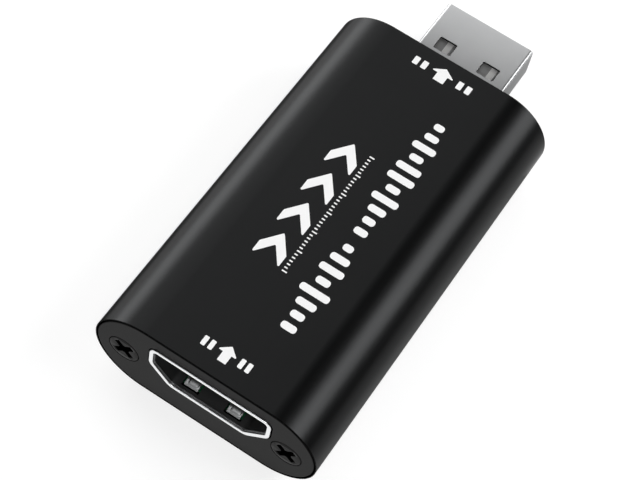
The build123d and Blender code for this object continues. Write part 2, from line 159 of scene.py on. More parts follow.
# %% What the camera and the gloss see
def seen_rays(tree):
    """One for rays from the camera, from gloss and through glass, and zero for the light that falls."""
    path = add_node(tree, "ShaderNodeLightPath")
    seen = path.outputs["Is Camera Ray"]
    for name in ("Is Glossy Ray", "Is Transmission Ray"):
        either = add_node(tree, "ShaderNodeMath", operation="MAXIMUM")
        tree.links.new(seen, either.inputs[0])
        tree.links.new(path.outputs[name], either.inputs[1])
        seen = either.outputs[0]
    return seen


# %% Floor
floor_side = 12.0
square = ((-1, -1), (1, -1), (1, 1), (-1, 1))
floor_paint, seen_paint, floor_lift = 0.86, 0.32, 0.74


def floor_finish():
    """Pale matt paint that the camera, metal and glass see as near white, with shadows kept."""
    material = bpy.data.materials.new("pale_floor")
    material.use_nodes = True
    tree = material.node_tree
    tree.nodes.clear()
    seen = seen_rays(tree)
    paint = add_node(tree, "ShaderNodeBsdfDiffuse", {"Color": spread(tree, seen, floor_paint, seen_paint)})
    lift = spread(tree, seen, 0.0, floor_lift)
    glow = add_node(tree, "ShaderNodeEmission", {"Color": (1, 1, 1, 1), "Strength": lift})
    both = add_node(tree, "ShaderNodeAddShader")
    tree.links.new(paint.outputs[0], both.inputs[0])
    tree.links.new(glow.outputs[0], both.inputs[1])
    out = add_node(tree, "ShaderNodeOutputMaterial")
    tree.links.new(both.outputs[0], out.inputs["Surface"])
    return material


floor_mesh = bpy.data.meshes.new("floor")
floor_corners = [(x * floor_side / 2, y * floor_side / 2, 0) for x, y in square]
floor_mesh.from_pydata(floor_corners, [], [(0, 1, 2, 3)])
floor = bpy.data.objects.new("floor", floor_mesh)
floor.data.materials.append(floor_finish())
bpy.context.scene.collection.objects.link(floor)
print("floor", floor_side, "metres square")


# %% Surroundings, white low down for the camera and the gloss, and dark overhead
light_share = 0.05
overhead_share = 0.015
fade_start, fade_end = 0.14, 0.34

world = bpy.data.worlds.new("studio")
bpy.context.scene.world = world
world.use_nodes = True
tree = world.node_tree
direction = add_node(tree, "ShaderNodeTexCoord")
height = axes(tree, direction.outputs["Generated"])["Z"]
low_down = spread(tree, seen_rays(tree), light_share, 1.0)
fade_values = {"Value": height, "From Min": fade_start, "From Max": fade_end,
               "To Min": low_down, "To Max": overhead_share}
fade = add_node(tree, "ShaderNodeMapRange", fade_values, interpolation_type="SMOOTHSTEP")
background = tree.nodes["Background"]
background.inputs["Color"].default_value = (1, 1, 1, 1)
tree.links.new(fade.outputs["Result"], background.inputs["Strength"])
print("surroundings", light_share, "of white low down,", overhead_share, "overhead")


# %% Soft lamps
lamp_distance = 2.5
lean = 0.482


def soft_lamp(name, toward, width, length, brightness, turn):
    """Rectangular lamp in a direction from the case, its length along the case, of an even brightness."""
    lamp = bpy.data.lights.new(name, "AREA")
    lamp.shape = "RECTANGLE"
    lamp.size = width
    lamp.size_y = length
    lamp.energy = brightness * math.pi * width * length
    away = Vector(toward).normalized()
    along = Vector((0, 1, 0))
    across = along.cross(away).normalized()
    along = away.cross(across)
    lamp_object = bpy.data.objects.new(name, lamp)
    place = Matrix.Translation(away * lamp_distance + Vector((0, 0, case_middle * mm)))
    facing = Matrix((across, along, away)).transposed().to_4x4()
    lamp_object.matrix_world = place @ facing @ Matrix.Rotation(turn, 4, "Z")
    bpy.context.scene.collection.objects.link(lamp_object)
    print(name, "brightness", brightness, "size", width, "by", length)


def section_direction(angle_degrees, forward):
    """Direction at an angle from straight up, seen along the case, leaning forward along it."""
    side = math.sqrt(1 - forward * forward)
    angle = math.radians(angle_degrees)
    return side * math.sin(angle), forward, side * math.cos(angle)


# Name, degrees from straight up, lean along the case, width, length, brightness and degrees turned
lamps = (("right_lamp", 50.5, lean, 1.1, 2.3, 6.3, -22),
         ("left_lamp", -82, lean, 1.5, 2.6, 5.8, 0),
         ("top_lamp", -30, lean, 2.0, 2.4, 1.44, 0),
         ("front_lamp", 12, -lean, 1.0, 1.0, 8.0, 0))
for name, angle, forward, width, length, brightness, turn in lamps:
    soft_lamp(name, section_direction(angle, forward), width, length, brightness, math.radians(turn))


# %% [markdown]
# ## Cards beside the object
# A studio photographer lays black and white cards round a shiny object to draw lines on it. These
# cards show only in reflections. A black one lies left of the case, where it draws the thin dark
# band low on that side, with a pale one beyond it. Another black one stands on the right, and two
# grey ones lie there, at the foot of the case and of the plug. A pale one lies in front, where the
# end plate and the socket's rim mirror the floor. The camera and the floor don't see any of them.

# %% Cards that only show in the gloss
card_grey, card_roughness = 0.01, 0.9


def gloss_card(name, low, high, brightness):
    """Card between two corners: lying where both are level, or else standing along the case."""
    mesh = bpy.data.meshes.new(name)
    lying = low[2] == high[2]
    corners = [low, (high[0], low[1], low[2]) if lying else (low[0], low[1], high[2]), high,
               (low[0], high[1], high[2] if lying else low[2])]
    mesh.from_pydata([Vector(corner) * mm for corner in corners], [], [(0, 1, 2, 3)])
    card = bpy.data.objects.new(name, mesh)
    material = bpy.data.materials.new(name)
    material.use_nodes = True
    shader = material.node_tree.nodes["Principled BSDF"]
    shader.inputs["Base Color"].default_value = (card_grey, card_grey, card_grey, 1)
    shader.inputs["Roughness"].default_value = card_roughness
    shader.inputs["Emission Color"].default_value = (1, 1, 1, 1)
    shader.inputs["Emission Strength"].default_value = brightness
    card.data.materials.append(material)
    card.visible_camera = card.visible_diffuse = card.visible_shadow = card.visible_transmission = False
    bpy.context.scene.collection.objects.link(card)
    print(name, "brightness", brightness)


# Name, lowest corner, highest corner and brightness
cards = (("right_flag", (70.0, -50.0, 0.5), (70.0, 110.0, 30.0), 0.0),
         ("right_foot", (14.3, -31.0, 0.3), (17.6, 19.0, 0.3), 0.4),
         ("plug_card", (6.1, 19.0, 0.3), (11.0, 36.0, 0.3), 0.45),
         ("left_flag", (-27.5, -50.0, 0.5), (-18.2, 110.0, 0.5), 0.0),
         ("left_foil", (-400.0, -150.0, 0.3), (-34.0, 250.0, 0.3), 1.3),
         ("front_foil", (-70.0, -220.0, 0.2), (70.0, input_face - 0.6, 0.2), 0.95))
for card in cards:
    gloss_card(*card)


# %% [markdown]
# ## Making meshes from rings
# Nearly every part of the adapter is an outline drawn across the case and carried along it: the
# sleeve, the plates, both metal shells. So the meshes are made from rings. A ring is an outline at
# one place along the case, a skin joins one ring to the next, and a cap closes an end and may have
# holes. Rounded edges are a few more rings close together.

# %% A form collects points and faces
class Form:
    """Points and faces of one mesh, with lengths in millimetres."""

    def __init__(self):
        self.points = []
        self.faces = []

    def ring(self, points):
        """Add a ring of points, and give their numbers."""
        start = len(self.points)
        self.points += [tuple(point) for point in points]
        return list(range(start, len(self.points)))

    def rings(self, outlines):
        """Add several rings, and give the numbers of each."""
        return [self.ring(outline) for outline in outlines]

    def skin(self, rings, closed=True, skipped=()):
        """Faces from each ring to the next, without those whose row and column are skipped."""
        count = len(rings[0])
        for row, (one, two) in enumerate(zip(rings, rings[1:])):
            for column in range(count if closed else count - 1):
                after = (column + 1) % count
                if (row, column) not in skipped:
                    self.faces.append((one[column], one[after], two[after], two[column]))

    def cap(self, outer, holes=()):
        """Flat face inside a ring, with a hole for each further ring."""
        loops = [outer] + list(holes)
        numbers = [number for loop in loops for number in loop]
        flat = tessellate_polygon([[Vector(self.points[number]) for number in loop] for loop in loops])
        self.faces += [tuple(numbers[corner] for corner in triangle) for triangle in flat]

    def loft(self, outlines):
        """Solid through several outlines, closed at both ends."""
        rings = self.rings(outlines)
        self.skin(rings)
        self.cap(rings[0])
        self.cap(rings[-1])


# %% [markdown]
# ## From a form to a piece
# A piece is a form turned into a Blender object. Its edges can be softened with the Bevel
# modifier, and a sheet gets its thickness from Solidify. The Weighted Normal modifier keeps large
# flat faces flat beside small rounded edges. The modifiers are applied at once, so that the mesh
# which rides on its body is the final one.

# %% Turn a form into a piece of the adapter
weld_distance = 0.001
softened_degrees = 70.0
edge_segments = 3


def make_piece(name, form, finish, replaced=(), body="case", sheet=0.0, edge=0.0, sharp_degrees=35.0):
    """Object from a form, riding on a body, with a sheet thickness or softened edges where given."""
    mesh = bpy.data.meshes.new(name)
    mesh.from_pydata([Vector(point) * mm for point in form.points], [], form.faces)
    mend(mesh, weld_distance, outward=not sheet)
    piece = bpy.data.objects.new(name, mesh)
    bpy.context.scene.collection.objects.link(piece)
    if sheet:
        solidify = piece.modifiers.new("sheet", "SOLIDIFY")
        solidify.thickness = abs(sheet) * mm
        solidify.offset = math.copysign(1, sheet)
        solidify.use_even_offset = True
    if edge:
        bevel = piece.modifiers.new("edges", "BEVEL")
        bevel.width = edge * mm
        bevel.segments = edge_segments
        bevel.limit_method = "ANGLE"
        bevel.angle_limit = math.radians(softened_degrees)
    settle(piece, sharp_degrees)
    piece.data.materials.append(finish)
    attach(piece, body)
    if replaced:
        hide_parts(*replaced)
    low, high = piece_box(piece)
    print(name, len(piece.data.polygons), "faces", "size", [round(b - a, 2) for a, b in zip(low, high)])
    return piece


# %% Weld, apply and smooth
def mend(mesh, weld=0.0, outward=True):
    """Join a mesh's points that lie within a weld distance, and turn its faces outward."""
    work = bmesh.new()
    work.from_mesh(mesh)
    if weld:
        bmesh.ops.remove_doubles(work, verts=work.verts, dist=weld * mm)
    if outward:
        bmesh.ops.recalc_face_normals(work, faces=work.faces)
    work.to_mesh(mesh)
    work.free()


def settle(piece, sharp_degrees):
    """Apply a piece's modifiers and give it smooth shading with flat faces kept flat."""
    piece.data = applied_mesh(piece)
    piece.modifiers.clear()
    mend(piece.data)
    piece.data.polygons.foreach_set("use_smooth", [True] * len(piece.data.polygons))
    piece.data.set_sharp_from_angle(angle=math.radians(sharp_degrees))
    weighted = piece.modifiers.new("flat faces", "WEIGHTED_NORMAL")
    weighted.keep_sharp = True
    piece.data = applied_mesh(piece)
    piece.modifiers.clear()


def applied_mesh(piece):
    """The piece's mesh with its modifiers applied."""
    bpy.context.view_layer.update()
    graph = bpy.context.evaluated_depsgraph_get()
    final = piece.evaluated_get(graph)
    return bpy.data.meshes.new_from_object(final, preserve_all_data_layers=True, depsgraph=graph)


def piece_box(piece):
    """Lowest and highest corner of a piece, in millimetres."""
    points = [vertex.co / mm for vertex in piece.data.vertices]
    return [min(p[i] for p in points) for i in range(3)], [max(p[i] for p in points) for i in range(3)]


# %% [markdown]
# ## Outlines
# The case is flat above and below with half-elliptical sides. The connectors are polygons with
# rounded corners. Each outline gives its points in the same order for every inset, so rings of
# different insets join up one to one.

# %% Outlines drawn across the case
side_depth = 6.3
side_steps = 72
flat_width = case_width - 2 * side_depth
ink_thickness = 0.015
sleeve_height = case_height - ink_thickness


def at(outline, place):
    """An outline in X and Z, placed along Y."""
    return [(x, place, z) for x, z in outline]


def case_outline(inset, height=case_height):
    """Flat faces with half-elliptical sides, drawn in by an inset."""
    points = []
    for side, centre in enumerate((flat_width / 2, -flat_width / 2)):
        for step in range(side_steps + 1):
            angle = math.radians(90 - 180 * side - 180 * step / side_steps)
            points.append((centre + (side_depth - inset) * math.cos(angle),
                           height / 2 + (height / 2 - inset) * math.sin(angle)))
    return points


# %% Round outlines and round corners
def circle_outline(x, z, radius, steps=48):
    """Round outline about a centre."""
    angles = [2 * math.pi * step / steps for step in range(steps)]
    return [(x + radius * math.cos(angle), z + radius * math.sin(angle)) for angle in angles]


def grown(corners, amount):
    """Corners of a convex outline, each edge moved out by an amount."""
    result = []
    for index, corner in enumerate(corners):
        here = Vector(corner)
        before = (here - Vector(corners[index - 1])).normalized()
        after = (Vector(corners[(index + 1) % len(corners)]) - here).normalized()
        out_before, out_after = Vector((before.y, -before.x)), Vector((after.y, -after.x))
        result.append(here + (out_before + out_after) * amount / (1 + out_before.dot(out_after)))
    return result


def corner_arc(before, here, after, radius, steps):
    """Points round one corner of an outline."""
    here = Vector(here)
    to_before, to_after = (Vector(before) - here).normalized(), (Vector(after) - here).normalized()
    half_angle = math.acos(max(-1.0, min(1.0, to_before.dot(to_after)))) / 2
    centre = here + (to_before + to_after).normalized() * radius / math.sin(half_angle)
    first = here + to_before * radius / math.tan(half_angle) - centre
    last = here + to_after * radius / math.tan(half_angle) - centre
    turn = math.atan2(first.x * last.y - first.y * last.x, first.dot(last))
    angles = [turn * step / steps for step in range(steps + 1)]
    return [(centre.x + first.x * math.cos(angle) - first.y * math.sin(angle),
             centre.y + first.x * math.sin(angle) + first.y * math.cos(angle)) for angle in angles]


def rounded(corners, radii, steps=8):
    """Outline through corners, taken anticlockwise, each rounded with its own radius."""
    points = []
    for index, radius in enumerate(radii):
        after = corners[(index + 1) % len(corners)]
        points += corner_arc(corners[index - 1], corners[index], after, radius, steps)
    return points


# %% A rounded edge
def edge_rings(outline, place, radius, inward):
    """Outlines of a rounded edge: from the face at a place, round to the side, along an inward sign."""
    rings, steps = [], 4
    for step in range(steps + 1):
        angle = math.pi / 2 * step / steps
        depth = inward * radius * (1 - math.cos(angle))
        rings.append(at(outline(radius * (1 - math.sin(angle))), place + depth))
    return rings


# %% [markdown]
# ## One recipe for most finishes
# Most finishes of this object are the same three layers: a broad cloud that shifts the colour a
# little, a fine grain that varies the gloss, and a shallow relief from the same grain. One class
# builds those layers, and each finish only says its colours and sizes, and may dye or roughen some
# places further. Noise that is squeezed along the case turns the grain into streaks or scratches.

# %% Shader helpers for the finishes
def stretched(tree, place, along):
    """Coordinates squeezed along the case, so that noise read from them is drawn out along it."""
    return add_node(tree, "ShaderNodeMapping", {"Vector": place, "Scale": (1, along, 1)}).outputs["Vector"]


def joined_inputs(node, numbers, values):
    """Set or join several inputs of a node by number."""
    for number, value in zip(numbers, values):
        if isinstance(value, bpy.types.NodeSocket):
            node.id_data.links.new(value, node.inputs[number])
        else:
            node.inputs[number].default_value = value


def blend_colours(tree, factor, one, two):
    """Colour between two others, by a factor."""
    node = add_node(tree, "ShaderNodeMix", data_type="RGBA")
    joined_inputs(node, (0, 6, 7), (factor, one, two))
    return node.outputs[2]


def reckon(tree, operation, one, two=0.0, clamp=False):
    """Result of one sum on two values or sockets."""
    node = add_node(tree, "ShaderNodeMath", operation=operation, use_clamp=clamp)
    joined_inputs(node, (0, 1), (one, two))
    return node.outputs[0]


def grey(value, warmth=0.0):
    """Grey colour, a little warm above zero and a little cool below."""
    return value * (1 + warmth), value, value * (1 - warmth), 1


def greys(first, last, warmth=0.0):
    """Two greys of one warmth."""
    return grey(first, warmth), grey(last, warmth)


def along_case(tree, place, start, end):
    """Rises from zero to one between two places along the case."""
    values = {"Value": axes(tree, place)["Y"], "From Min": start * mm, "From Max": end * mm}
    return add_node(tree, "ShaderNodeMapRange", values).outputs["Result"]


def behind_faces(tree, place, start, end):
    """Rises from zero to one between two depths behind the face of either end plate."""
    return reckon(tree, "MINIMUM", along_case(tree, place, input_face + start, input_face + end),
                  along_case(tree, place, output_face - start, output_face - end))


# %% The three layers
class Finish:
    """A material of three layers: a cloud of colour, a grain in the gloss, and the grain's relief."""

    def __init__(self, name, colours, gloss, grain=0.07, relief=0.002, cloud=4.0, squeeze=1.0, **plain):
        self.material = bpy.data.materials.new(name)
        self.material.use_nodes = True
        self.tree = self.material.node_tree
        self.shader = self.tree.nodes["Principled BSDF"]
        for socket, value in plain.items():
            self.shader.inputs[socket.replace("_", " ")].default_value = value
        self.place = add_node(self.tree, "ShaderNodeTexCoord").outputs["Object"]
        self.grain = noise(self.tree, stretched(self.tree, self.place, squeeze), grain)
        self.cloud = noise(self.tree, self.place, cloud, detail=4.0)
        self.colour = blend_colours(self.tree, self.cloud, *colours)
        self.gloss = spread(self.tree, self.grain, *gloss)
        raised = {"Height": self.grain, "Distance": relief * mm}
        normal = add_node(self.tree, "ShaderNodeBump", raised).outputs["Normal"]
        self.tree.links.new(normal, self.shader.inputs["Normal"])

    def dye(self, mask, colour):
        """Lay a further colour over the first where a mask is one."""
        self.colour = blend_colours(self.tree, mask, self.colour, colour)

    def roughen(self, mask, low, high):
        """Add to the roughness, from a low amount to a high one by a mask."""
        self.gloss = reckon(self.tree, "ADD", self.gloss, spread(self.tree, mask, low, high))

    def done(self):
        """Join the colour and the gloss to the shader, and give the material."""
        self.tree.links.new(self.colour, self.shader.inputs["Base Color"])
        self.tree.links.new(self.gloss, self.shader.inputs["Roughness"])
        print("finish", self.material.name)
        return self.material


# %% [markdown]
# ## Black anodised aluminium
# The sleeve is extruded, blasted to a satin grain and anodised black. The dye leaves a very dark
# metal, so the shader is metal with a base colour near black, and the picture on it is made by
# the lamps. Faint streaks follow the extrusion, and the thin rims are painted near black as
# painted shade.

# %% The sleeve's finish
streak_squeeze, streak_size, streak_gloss = 0.02, 0.3, (-0.015, 0.035)
# Painted shade: the sleeve's rims are near black between the face and these depths behind it.
rim_shade_depths, rim_painted_shade = (0.05, 0.09), grey(0.002)


def anodised_finish():
    """Satin black anodised aluminium with grain, extrusion streaks and rims painted black as painted shade.
    """
    make = Finish("anodised_black", greys(0.0165, 0.0185, -0.02), (0.27, 0.35), cloud=7.0,
                  Metallic=1.0, Specular_Tint=grey(0.72))
    streak = noise(make.tree, stretched(make.tree, make.place, streak_squeeze), streak_size, detail=2.0)
    make.roughen(streak, *streak_gloss)
    # Painted shade: near black within a small depth of either face, on the rims.
    inside = behind_faces(make.tree, make.place, *rim_shade_depths)
    make.colour = blend_colours(make.tree, inside, rim_painted_shade, make.colour)
    return make.done()


anodised = anodised_finish()


# %% [markdown]
# ## The end plates' and screws' finish
# The plates are stamped from sheet and painted a flat dark grey, a little rougher than the
# sleeve, with painted shade in black on the cut edges. The screws are blackened steel. Their
# recesses are painted black as painted shade, and made rougher than their faces.

# %% Plate and screw finishes
# Painted shade: black from these depths behind a face, on the plates' cut edges and in the screws' recesses.
edge_shade_depths, recess_shade_depths = (0.012, 0.05), (0.01, 0.07)
painted_shade_black = grey(0.001)
recess_dullness = 0.5


def plate_finish():
    """Flat dark grey paint, with painted shade in black on the cut edges."""
    make = Finish("plate_paint", greys(0.021, 0.024), (0.36, 0.46), relief=0.003,
                  Metallic=1.0, Specular_Tint=grey(0.65))
    make.dye(behind_faces(make.tree, make.place, *edge_shade_depths), painted_shade_black)
    return make.done()


def screw_finish():
    """Blackened steel, with painted shade in black down in the recess."""
    make = Finish("blackened_steel", (grey(0.012), grey(0.018, 0.02)), (0.42, 0.3), grain=0.3,
                  relief=0.003, cloud=0.6, Metallic=1.0, Specular_Tint=grey(0.7))
    # Painted shade in black down the recess, which is also made rougher.
    deep = behind_faces(make.tree, make.place, *recess_shade_depths)
    make.dye(deep, painted_shade_black)
    make.roughen(deep, 0.0, recess_dullness)
    return make.done()


plate_paint = plate_finish()
blackened_steel = screw_finish()


# %% [markdown]
# ## Nickel
# The connector shells are plated steel. The rim of the socket's shell is bright, its fingers are
# duller, and its tube is painted near black as painted shade, darkest just behind the rim, since
# little light falls into the mouth. The plug's shell is satin with fine scratches along it, and
# painted darker toward its root than toward its tip, as painted shade beside the case. Its inner
# face and the walls of its windows are painted dark as painted shade.

# %% Nickel finishes
plug_skin, plug_tip_skin, plug_inner_half = 0.08, 0.1, 5.65
cloud_share, smudge_size, smudge_share = 0.94, 5.0, (0.8, 1.2)
# Painted shade: the dark tone laid on the plug's inner face and the walls of its windows.
painted_shade_steel, nickel_tint = grey(0.015), -0.01


def inside_plug(tree, place):
    """One on the inner face of the plug's sheet and on the walls of its windows, where painted shade goes,
    and zero elsewhere.
    """
    parts = axes(tree, place)
    limits = (("LESS_THAN", "Y", plug_high.y - plug_tip_skin), ("LESS_THAN", "Z", plug_high.z - plug_skin),
              ("GREATER_THAN", "Z", plug_low.z + plug_skin))
    inside = reckon(tree, "LESS_THAN", reckon(tree, "ABSOLUTE", parts["X"]), plug_inner_half * mm)
    for operation, axis, limit in limits:
        inside = reckon(tree, "MULTIPLY", inside, reckon(tree, operation, parts[axis], limit * mm))
    return inside


def nickel_finish(name, first, last, start, end, gloss, relief=0.001, shade_mask=None):
    """Plated steel with fine scratches along it, of one tone at a start and another at an end, and painted
    shade where a mask is given.
    """
    make = Finish(name, greys(last * cloud_share, last, nickel_tint), gloss, grain=0.05,
                  relief=relief, cloud=1.8, squeeze=0.03, Metallic=1.0)
    change = spread(make.tree, along_case(make.tree, make.place, start, end), 1.0, 0.0)
    smudge = spread(make.tree, noise(make.tree, make.place, smudge_size), *smudge_share)
    share = reckon(make.tree, "MULTIPLY", change, smudge, clamp=True)
    make.dye(share, grey(first, nickel_tint))
    if shade_mask:
        make.dye(shade_mask(make.tree, make.place), painted_shade_steel)
    return make.done()


rim_nickel = nickel_finish("rim_nickel", 0.9, 0.9, input_face, output_face, (0.24, 0.34))
finger_nickel = nickel_finish("finger_nickel", 0.33, 0.33, input_face, output_face, (0.44, 0.54))
# Painted shade: the tube is near black, darkest just behind the rim.
tube_steel_painted_shade = nickel_finish("tube_steel_painted_shade", 0.07, 0.12, input_face + 0.1, input_face + 0.6, (0.4, 0.5))
# Painted shade: the plug is painted darker at its root beside the case than at its tip.
satin_nickel = nickel_finish("satin_nickel", 0.13, 0.48, output_face, plug_high.y, (0.3, 0.38),
                             relief=0.002, shade_mask=inside_plug)


# %% [markdown]
# ## Plastic, contacts and ink
# The plastic inside the socket is black and a little waxy, and the plug's is mid grey. The socket's
# contacts are gilt, and the plug's are pale under a thin plating. The marks on top of the case are
# printed in white ink, a thin skin with a faint orange-peel surface.

# %% Plastic, contact and ink finishes
socket_plastic = Finish("socket_plastic", greys(0.04, 0.055), (0.4, 0.55), relief=0.003,
                        Specular_IOR_Level=0.4).done()
plug_plastic = Finish("plug_plastic", greys(0.32, 0.36), (0.5, 0.62), relief=0.003).done()
gold_flash = Finish("gold_flash", ((0.8, 0.58, 0.26, 1), (0.84, 0.68, 0.42, 1)), (0.2, 0.32),
                    squeeze=0.15, cloud=0.4, Metallic=1.0).done()
pale_contact = Finish("pale_contact", greys(0.92, 0.97, 0.01), (0.5, 0.6),
                      squeeze=0.15, cloud=0.4, Metallic=0.1).done()
white_ink = Finish("white_ink", greys(0.83, 0.87), (0.42, 0.55), grain=0.12, relief=0.003,
                   cloud=1.0).done()


# %% [markdown]
# ## The sleeve
# The sleeve is one extrusion with open ends. A plate is let into a step at each end, which leaves
# a thin lip round it. Inside are two rails that hold the circuit board's edges, and above them
# two open channels that the plate screws cut into. The outside could be a rounded box, but its
# sides are half ellipses, so it is drawn as rings. Its rims have a small true round, painted so
# dark as painted shade that the edge shows as a thin black line.

# %% Sleeve sizes, as on the measured part
wall = 1.0
lip_thickness = 0.1
plate_gap = 0.2
rim_round = 0.06
lip_round = 0.03
screw_spacing = 20.6
screw_height = 5.9
shank_radius = 1.0
channel_wall = 0.75
channel_slot = 1.2
channel_web = 2.4
thread_play = 0.03
rail_inside = 10.3
groove_half = 11.15
groove_low, groove_high = 2.35, 4.05
bore_steps, roof_steps = 32, 24
print("wall", wall, "lip round the plate", lip_thickness, "gap", plate_gap)


# %% The section inside the sleeve
def arc_points(x, z, radius, first, last, steps=16):
    """Points on an arc between two angles in degrees."""
    angles = [math.radians(first + (last - first) * step / steps) for step in range(steps + 1)]
    return [(x + radius * math.cos(angle), z + radius * math.sin(angle)) for angle in angles]


def inner_section():
    """Outline of the hollow: floor, rails with their groove, screw channels, and the curved roof."""
    x, z = screw_spacing / 2, screw_height
    outer, bore = shank_radius + channel_wall, shank_radius + thread_play
    slot_on_outer = math.degrees(math.asin(channel_slot / 2 / outer))
    slot_in_bore = math.degrees(math.asin(channel_slot / 2 / bore))
    web_angle = math.degrees(math.asin(channel_web / 2 / outer))
    half_wide, half_high = side_depth - wall, case_middle - wall
    web_top = screw_height + channel_web / 2
    roof_angle = math.degrees(math.asin((web_top - case_middle) / half_high))
    right = [(rail_inside, wall), (rail_inside, groove_low), (groove_half, groove_low),
             (groove_half, groove_high), (rail_inside, groove_high)]
    right += arc_points(x, z, outer, -90, -180 + slot_on_outer)
    right += arc_points(x, z, bore, -180 + slot_in_bore, 180 - slot_in_bore, bore_steps)
    right += arc_points(x, z, outer, 180 - slot_on_outer, web_angle)
    roof = [math.radians(roof_angle + (90 - roof_angle) * step / roof_steps)
            for step in range(roof_steps + 1)]
    right += [(flat_width / 2 + half_wide * math.cos(angle), case_middle + half_high * math.sin(angle))
              for angle in roof]
    return right + [(-px, pz) for px, pz in reversed(right)]


# %% Build the sleeve
def build_sleeve():
    """Extruded sleeve with rounded rims, a step for the plate at each end and its inside."""
    form = Form()

    def outline(inset):
        return case_outline(inset, sleeve_height)

    ends = []
    for face, inward in ((input_face, 1), (output_face, -1)):
        seat = face + inward * plate_thickness
        lip = [at(outline(lip_thickness), seat), at(outline(lip_thickness), face + inward * lip_round),
               at(outline(lip_thickness - lip_round), face)]
        rings = form.rings(lip + edge_rings(outline, face, rim_round, inward))
        form.skin(rings)
        inside = form.ring(at(inner_section(), seat))
        form.cap(rings[0], [inside])
        ends.append((rings[-1], inside))
    form.skin([ends[0][0], ends[1][0]])
    form.skin([ends[0][1], ends[1][1]])
    return make_piece("sleeve_body", form, anodised, ["case_sleeve"])


build_sleeve()


# %% [markdown]
# ## The end plates
# Each plate closes one end of the sleeve. It has a countersunk hole for a screw on each side and
# an opening for the connector. A boolean cut would leave ragged shading round the holes, so the
# front and back are capped with holes in them, and each hole is its own short skin.

# %% Outlines of the two connectors
socket_width, socket_tall = 14.0, 4.55
socket_side, socket_slope_width = 2.35, 2.35
socket_radii = (0.9, 0.9, 0.7, 0.4, 0.4, 0.7)
socket_offset, socket_floor = 0.5, 5.0
sheet_thickness = 0.3
socket_flare = 0.3
plug_width, plug_tall, plug_corner = 12.0, 4.5, 0.45
plug_middle = (plug_low.z + plug_high.z) / 2
least_corner = 0.05
print("socket", socket_width, "by", socket_tall, "plug", plug_width, "by", plug_tall)


def socket_outline(grow):
    """Inside of the socket, wide at the top with sloped shoulders, grown all round."""
    half, shoulder = socket_width / 2, socket_tall - socket_side
    base = half - socket_slope_width
    corners = [(-base, 0), (base, 0), (half, shoulder), (half, socket_tall), (-half, socket_tall),
               (-half, shoulder)]
    points = rounded(grown(corners, grow), [radius + grow for radius in socket_radii])
    return [(x + socket_offset, z + socket_floor) for x, z in points]


def plug_outline(inset):
    """Outside of the plug, drawn in all round."""
    half, tall = plug_width / 2 - inset, plug_tall / 2 - inset
    corners = [(-half, -tall), (half, -tall), (half, tall), (-half, tall)]
    points = rounded(corners, [max(plug_corner - inset, least_corner)] * 4)
    return [(x, z + plug_middle) for x, z in points]


# %% Build the end plates
plate_round = 0.11
hole_round = 0.06
flat_border = 0.1
socket_clearance = 0.15
plug_clearance = 0.12
head_radius, head_play, hole_radius = 1.85, 0.05, 1.1
half_way_round = 0.3


def build_end_plate(name, node, face, inward, opening):
    """Plate with a rounded edge, two countersunk holes and an opening for a connector."""
    form = Form()
    back = face + inward * plate_thickness
    border = lip_thickness + plate_gap
    edge = edge_rings(lambda inset: case_outline(border + inset), face, plate_round, inward)
    flat = at(case_outline(border + plate_round + flat_border), face)
    outside = form.rings([flat] + edge + [at(case_outline(border), back)])
    half_way = hole_round * half_way_round
    steps = [(-hole_round - flat_border, 0), (-hole_round, 0), (-half_way, half_way),
             (0, hole_round), (0, plate_thickness)]
    holes = [form.rings([at(opening(inset), face + inward * depth) for inset, depth in steps])]
    top = head_radius + head_play
    for hand in (-1, 1):
        sink = [(top + hole_round + flat_border, 0), (top + hole_round, 0), (top, hole_round),
                (hole_radius, top - hole_radius), (hole_radius, plate_thickness)]
        centre = hand * screw_spacing / 2
        holes.append(form.rings([at(circle_outline(centre, screw_height, radius), face + inward * depth)
                                 for radius, depth in sink]))
    form.cap(outside[0], [hole[0] for hole in holes])
    form.cap(outside[-1], [hole[-1] for hole in holes])
    for rings in [outside] + holes:
        form.skin(rings)
    return make_piece(name, form, plate_paint, [node])


socket_hole_grow = sheet_thickness + socket_flare + socket_clearance
build_end_plate("input_plate_body", "input_end_plate", input_face, 1,
                lambda inset: socket_outline(socket_hole_grow - inset))
build_end_plate("output_plate_body", "output_end_plate", output_face, -1,
                lambda inset: plug_outline(inset - plug_clearance))


# %% [markdown]
# ## The screws
# Two countersunk screws hold each plate. Their heads have a cross recess that narrows as it goes
# down, and their shanks have a real thread. The thread is a cylinder whose rows of points move in
# and out with the angle and the height together, which makes a helix without any modifier.

# %% Screw sizes and the cross recess
screw_length, head_depth = 6.0, 0.85
thread_pitch, thread_depth = 0.45, 0.14
thread_steps, thread_turn_steps, thread_sharp = 8, 36, 40
head_edge = 0.07
shank_point = 0.2
# Reach of the arms, half their width, the core between them and the depth, from the face down
recess_sizes = ((1.4, 0.38, 0.56, 0.0), (1.36, 0.36, 0.52, 0.03), (1.05, 0.3, 0.42, 0.65),
                (0.42, 0.22, 0.3, 0.8))
recess_corner = 0.05


def cross_outline(reach, half_arm, core, turn):
    """Outline of a cross recess, with its arms cut off at a reach and filled a little at its core."""
    corners = []
    for quarter in range(4):
        for a, b in ((reach, -half_arm), (reach, half_arm), (core, half_arm), (half_arm, core)):
            angle = math.radians(90 * quarter + turn)
            corners.append((a * math.cos(angle) - b * math.sin(angle),
                            a * math.sin(angle) + b * math.cos(angle)))
    return rounded(corners, [recess_corner] * len(corners), 3)


def shifted(outline, x, z):
    """An outline moved across the case."""
    return [(px + x, pz + z) for px, pz in outline]


